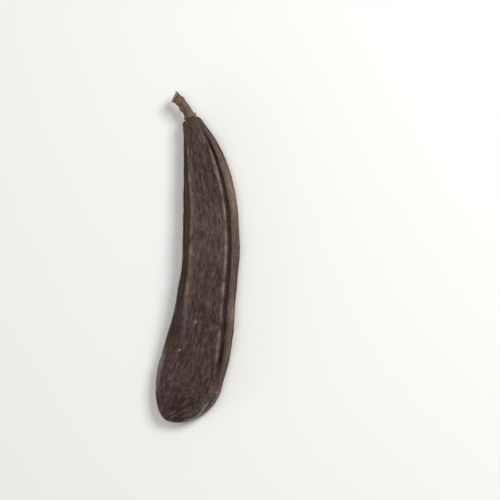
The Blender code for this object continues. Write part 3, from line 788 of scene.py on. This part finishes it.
# Knobs: how far out along the stalk, as a share, and how high in mm
STALK_KNOBS = ((0.46, 0.5), (0.72, 0.35), (0.95, 0.45))
KNOB_SPREAD, KNOB_TURN = 0.09, 9
BARK_ROUGHNESS, BARK_LENGTH, BARK_RIDGES, BARK_IN = 0.12, 4 * MM, 1.3, (0.25, 0.4)
FIBRE_GROOVE, FIBRE_GROOVE_SHARPNESS = 0.16 * MM, 0.35
FIBRE_GROOVE_LENGTH, FIBRE_GROOVE_ROUND, FIBRE_GROOVE_SLICE = 5 * MM, 5.5, 71
COLLAR_WRINKLE, COLLAR_WRINKLE_SPACING = 0.1 * MM, 0.62 * MM
COLLAR_WRINKLE_SPREAD, COLLAR_WRINKLE_WAVER = 1.6 * COLLAR_SPREAD, 2.5
# Scars where other stalks broke away: run along the stalk in mm, turn round it, width in mm
SCARS = ((4.6, 1.1, 1.5), (7.4, 3.9, 1.3), (2.9, 5.3, 1.1))
SCAR_RISE, SCAR_RIM, SCAR_RIM_SPREAD = 0.3 * MM, 0.95, 0.5
SCAR_DEPTH, SCAR_PIT_SPREAD = 0.34 * MM, 0.6
SCAR_TORN, SCAR_TORN_SPREAD = 0.7, 0.75
BREAK_IN, BREAK_SLANT, BREAK_SIDE = (0.75, 1.0), 0.8 * MM, 1.0
BREAK_TEETH, BREAK_TEETH_ROUND, BREAK_SLICE = 0.7 * MM, 3, 4.2
END_ROUGHNESS, END_GRAIN, END_INSET, TORN_IN = 0.55 * MM, 2.6, 0.2 * MM, (0.93, 1.0)
STALK_RINGS, STALK_SIDES, END_RINGS = 170, 120, 14
# Splinters stand out of the torn end. Their places are squared shares of its radius, so
# they are spread evenly, and their lengths are in mm.
SPLINTERS, SPLINTER_SEED, SPLINTER_ROOT, SPLINTER_PLACES = 44, 7, 0.55 * MM, (0.05, 0.86)
SPLINTER_LENGTHS, SPLINTER_LEAN = (0.4, 0.8), 0.13
SPLINTER_HALF_WIDTH, SPLINTER_WIDTHS, SPLINTER_FLATNESS = 0.17 * MM, (0.5, 1.3), 0.6


def stalk_point(run, angles, radius, broken):
    """Places in the neck's frame at this run along the bent stalk, this far from its middle."""
    bend = np.radians(STALK_TURN) * np.clip(run / STALK_REACH, 0, 1)
    forward = run * np.cos(bend / 2) + broken - radius * np.cos(angles) * np.sin(bend)
    aside = run * np.sin(bend / 2) + radius * np.cos(angles) * np.cos(bend)
    return np.stack(np.broadcast_arrays(aside, radius * np.sin(angles), forward), axis=-1)


run = np.linspace(-STALK_ROOT, STALK_REACH, STALK_RINGS)[:, None]
turn = np.arange(STALK_SIDES) / STALK_SIDES * 2 * np.pi
free = np.clip(run / STALK_REACH, 0, 1)
radius = STALK_RADIUS * (1 - STALK_TAPER * free) + 0 * turn
radius += COLLAR_RISE * bell(run, COLLAR_PLACE, COLLAR_SPREAD)
for knob_place, rise in STALK_KNOBS:
    one_side = 0.5 + 0.5 * np.cos(turn - KNOB_TURN * knob_place)
    radius += rise * MM * bell(free, knob_place, KNOB_SPREAD) * one_side
bark = waves(run / BARK_LENGTH, np.cos(turn) * BARK_RIDGES, np.sin(turn) * BARK_RIDGES)
radius *= 1 + BARK_ROUGHNESS * bark * step_up(*BARK_IN, free)
round_x, round_y = np.cos(turn) * FIBRE_GROOVE_ROUND, np.sin(turn) * FIBRE_GROOVE_ROUND
groove_noise = waves(run / FIBRE_GROOVE_LENGTH + FIBRE_GROOVE_SLICE, round_x, round_y)
grooves = sharp(groove_noise, FIBRE_GROOVE_SHARPNESS) * step_up(0, COLLAR_PLACE, run)
radius -= FIBRE_GROOVE * grooves
collar = bell(run, COLLAR_PLACE, COLLAR_WRINKLE_SPREAD)
collar_turns = 2 * np.pi * run / COLLAR_WRINKLE_SPACING + COLLAR_WRINKLE_WAVER * bark
radius -= COLLAR_WRINKLE * collar * swing(collar_turns)

scar = 0 * radius
for scar_run, scar_turn, scar_width in SCARS:
    round_stalk = np.abs((turn - scar_turn + np.pi) % (2 * np.pi) - np.pi) * STALK_RADIUS / MM
    away = np.hypot(run / MM - scar_run, round_stalk) / (scar_width / 2)
    radius += SCAR_RISE * bell(away, SCAR_RIM, SCAR_RIM_SPREAD)
    radius -= SCAR_DEPTH * bell(away, 0, SCAR_PIT_SPREAD)
    scar = np.maximum(scar, bell(away, 0, SCAR_TORN_SPREAD))

teeth_x, teeth_y = np.cos(turn) * BREAK_TEETH_ROUND, np.sin(turn) * BREAK_TEETH_ROUND
teeth = BREAK_TEETH * waves(teeth_x, teeth_y, BREAK_SLICE)
slant = BREAK_SLANT * np.cos(turn - BREAK_SIDE)
side_rings = stalk_point(run, turn, radius, (slant + teeth) * step_up(*BREAK_IN, free))

inward = 1 - np.arange(1, END_RINGS)[:, None] / END_RINGS
end_radius = radius[-1] * inward
end_x, end_y = end_radius * np.cos(turn) / MM, end_radius * np.sin(turn) / MM
torn_end = END_ROUGHNESS * waves(end_x * END_GRAIN, end_y * END_GRAIN, BREAK_SLICE) - END_INSET
end_break = slant * inward + teeth * inward**2 + torn_end
end_rings = stalk_point(STALK_REACH, turn, end_radius, end_break)
stalk_rings = np.concatenate([side_rings, end_rings])
stalk = skinned("stalk_stub", stalk_rings, side_rings[0].mean(axis=0), end_rings[-1].mean(axis=0))

splinter_rng = np.random.default_rng(SPLINTER_SEED)
bend = np.radians(STALK_TURN)
end_mean_radius = float(radius[-1].mean())
points, faces = [], []
for _ in range(SPLINTERS):
    at_turn = splinter_rng.uniform(0, 2 * np.pi)
    at_radius = end_mean_radius * np.sqrt(splinter_rng.uniform(*SPLINTER_PLACES))
    at_slant = BREAK_SLANT * np.cos(at_turn - BREAK_SIDE)
    root = stalk_point(STALK_REACH - SPLINTER_ROOT, at_turn, at_radius, at_slant)
    length = splinter_rng.uniform(*SPLINTER_LENGTHS) * MM
    lean_x, lean_y = splinter_rng.normal(0, SPLINTER_LEAN, 2)
    along_stalk = np.array([np.sin(bend) + lean_x, lean_y, np.cos(bend)])
    half = SPLINTER_HALF_WIDTH * splinter_rng.uniform(*SPLINTER_WIDTHS)
    first = len(points)
    for corner_x, corner_y in ((-1, -1), (1, -1), (1, 1), (-1, 1)):
        corner = np.array([corner_x * half, corner_y * half * SPLINTER_FLATNESS, 0])
        points.append((root + corner).tolist())
    points.append((root + along_stalk * length).tolist())
    faces += [(first + a, first + (a + 1) % 4, first + 4) for a in range(4)]
    faces.append((first + 3, first + 2, first + 1, first))
splinter_mesh = bpy.data.meshes.new("splinters")
splinter_mesh.from_pydata(points, [], faces)
splinters = bpy.data.objects.new("splinters", splinter_mesh)
bpy.context.scene.collection.objects.link(splinters)

end_points = (END_RINGS - 1) * STALK_SIDES
torn = np.maximum(step_up(*TORN_IN, free), SCAR_TORN * scar)
torn = np.concatenate([torn.ravel(), np.ones(end_points), [0, 1]])
grooved = np.concatenate([grooves.ravel(), np.zeros(end_points + 2)])
side_x, side_y = np.cos(turn) * radius / MM, np.sin(turn) * radius / MM
side_place = np.stack(np.broadcast_arrays(side_x, side_y, run / MM), axis=-1).reshape(-1, 3)
end_place = np.stack(np.broadcast_arrays(end_x, end_y, STALK_REACH / MM), axis=-1).reshape(-1, 3)
fibre_place = np.concatenate([side_place, end_place, side_place[:1], end_place[-1:]])
give_amounts(stalk, "torn", "FLOAT", torn)
give_amounts(stalk, "fibre_place", "FLOAT_VECTOR", fibre_place)
give_amounts(stalk, "fibre_groove", "FLOAT", grooved)
give_amounts(splinters, "torn", "FLOAT", np.ones(len(points)))
give_amounts(splinters, "fibre_place", "FLOAT_VECTOR", np.array(points) / MM)
give_amounts(splinters, "fibre_groove", "FLOAT", np.zeros(len(points)))
bpy.ops.object.select_all(action="DESELECT")
splinters.select_set(True)
stalk.select_set(True)
bpy.context.view_layer.objects.active = stalk
bpy.ops.object.join()
stalk.data.transform(Matrix.Translation(to_frame) @ neck)

# Dry stalk wood: bark rubbed to a greyish tan, with darker lines along its fibres, painted
# shade in its fibre grooves, and clean pale wood where it tore. It has no gloss. Its real
# fibres, about 0.05 mm wide, are too fine to show in the render, so its grain is drawn 0.35 mm
# wide. Sizes are in mm.
BARK_BROWN, BARK_TAN, BARK_DARK, TORN_WOOD = "#5d483c", "#85695a", "#3a2b24", "#a88a70"
GRAIN_WIDTH, GRAIN_LENGTH, BLOTCHES_PER_MM = 0.35, 4, 0.45
BARK_PAINT = (
    # pattern, its value where the colour starts and where it is full, how much, colour
    ("blotch", 0.4, 0.62, 1, BARK_TAN),
    ("grain", 0.5, 0.3, 0.7, BARK_DARK),
)
STALK_GROOVE_SHADE, TORN_GRAIN, TORN_LEAST = 0.6, (0.3, 0.7), 0.55
WOOD_ROUGHNESS, WOOD_STRENGTH, WOOD_DEPTH = 0.82, 0.6, 0.06 * MM

material = bpy.data.materials.new("dry stalk wood")
material.use_nodes = True
tree = material.node_tree
shader = tree.nodes["Principled BSDF"]
place = add(tree, "Attribute", attribute_name="fibre_place").outputs["Vector"]
grain_scale = (1 / GRAIN_WIDTH, 1 / GRAIN_WIDTH, 1 / GRAIN_LENGTH)
grain_place = add(
    tree, "VectorMath", {0: place, 1: grain_scale}, operation="MULTIPLY"
).outputs[0]
grain = add(tree, "TexNoise", {"Vector": grain_place, "Scale": 1, "Detail": 3}).outputs["Fac"]
blotch = add(
    tree, "TexNoise", {"Vector": place, "Scale": BLOTCHES_PER_MM, "Detail": 2}
).outputs["Fac"]
patterns = {"grain": grain, "blotch": blotch}
layers = []
for name, start, full, most, code in BARK_PAINT:
    amount = add(tree, "MapRange", {0: patterns[name], 1: start, 2: full, 4: most}).outputs[0]
    layers.append((amount, code))
# Painted shade in the fibre grooves
in_groove = add(tree, "Attribute", attribute_name="fibre_groove").outputs["Fac"]
stalk_groove_shade = add(tree, "Math", {0: in_groove, 1: STALK_GROOVE_SHADE}, operation="MULTIPLY").outputs[0]
layers.append((stalk_groove_shade, BARK_DARK))
low, high = TORN_GRAIN
torn_grain = add(
    tree, "MapRange", {0: grain, 1: low, 2: high, 3: TORN_LEAST, 4: 1}
).outputs[0]
torn_amount = add(tree, "Attribute", attribute_name="torn").outputs["Fac"]
torn_wood = add(tree, "Math", {0: torn_amount, 1: torn_grain}, operation="MULTIPLY").outputs[0]
layers.append((torn_wood, TORN_WOOD))

paint = colour(BARK_BROWN)
for amount, code in layers:
    paint = add(
        tree, "Mix", {0: amount, 6: paint, 7: colour(code)}, data_type="RGBA"
    ).outputs[2]
tree.links.new(paint, shader.inputs["Base Color"])
shader.inputs["Roughness"].default_value = WOOD_ROUGHNESS
bump = add(
    tree, "Bump", {"Height": grain, "Strength": WOOD_STRENGTH, "Distance": WOOD_DEPTH}
).outputs[0]
tree.links.new(bump, shader.inputs["Normal"])
stalk.data.materials.append(material)

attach(stalk, "root")
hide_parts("stalk")

# The stage: a plain pale floor under soft studio light, strongest from the upper right,
# and a camera as far tilted, and as close, as the one that took the photograph. The
# start of the pod's middle line, under its round end, shows at the pixel given.

FLOOR_SIZE, FLOOR_COLOUR, FLOOR_ROUGHNESS = 4.0, "#f1f0ee", 0.9
ROOM_COLOUR, ROOM_STRENGTH = "#f8f6f4", 0.3
PHOTO_PIXELS = 500
PIXEL = 0.385 * MM
START_PIXEL = (181, 423)
CAMERA_TILT = np.radians(18)
CAMERA_DISTANCE = 0.9
SENSOR_WIDTH = 36
LIGHTS = (
    # name, place in metres, width of the square panel in metres, power in watts
    ("key_panel", (0.68, 0.42, 0.66), 0.36, 8.5),
    ("top_panel", (0.05, 0.05, 1.0), 0.7, 2.8),
    ("left_panel", (-0.8, -0.35, 0.22), 0.3, 1.2),
)

half = FLOOR_SIZE / 2
floor_mesh = bpy.data.meshes.new("floor")
floor_corners = [(-half, -half, 0), (half, -half, 0), (half, half, 0), (-half, half, 0)]
floor_mesh.from_pydata(floor_corners, [], [(0, 1, 2, 3)])
floor = bpy.data.objects.new("floor", floor_mesh)
bpy.context.scene.collection.objects.link(floor)
material = bpy.data.materials.new("matte pale paper")
material.use_nodes = True
shader = material.node_tree.nodes["Principled BSDF"]
shader.inputs["Base Color"].default_value = colour(FLOOR_COLOUR)
shader.inputs["Roughness"].default_value = FLOOR_ROUGHNESS
floor_mesh.materials.append(material)

for name, light_place, width, power in LIGHTS:
    lamp = bpy.data.lights.new(name, "AREA")
    lamp.size = width
    lamp.energy = power
    panel = bpy.data.objects.new(name, lamp)
    panel.location = light_place
    panel.rotation_euler = Vector(light_place).to_track_quat("Z", "Y").to_euler()
    bpy.context.scene.collection.objects.link(panel)

world = bpy.data.worlds.new("soft room light")
world.use_nodes = True
background = world.node_tree.nodes["Background"]
background.inputs["Color"].default_value = colour(ROOM_COLOUR)
background.inputs["Strength"].default_value = ROOM_STRENGTH
bpy.context.scene.world = world
bpy.context.scene.view_settings.view_transform = "Standard"

right = np.array([np.cos(CAMERA_TILT), 0, -np.sin(CAMERA_TILT)])
back = np.array([np.sin(CAMERA_TILT), 0, np.cos(CAMERA_TILT)])
middle_pixel = PHOTO_PIXELS / 2
target = np.array(to_frame) + right * (middle_pixel - START_PIXEL[0]) * PIXEL
target[1] += (START_PIXEL[1] - middle_pixel) * PIXEL
lens = bpy.data.cameras.new("camera")
lens.sensor_width = SENSOR_WIDTH
lens.lens = SENSOR_WIDTH * CAMERA_DISTANCE / (PHOTO_PIXELS * PIXEL)
camera = bpy.data.objects.new("camera", lens)
camera.location = (target + back * CAMERA_DISTANCE).tolist()
camera.rotation_euler = (0, CAMERA_TILT, 0)
bpy.context.scene.collection.objects.link(camera)
bpy.context.scene.camera = camera
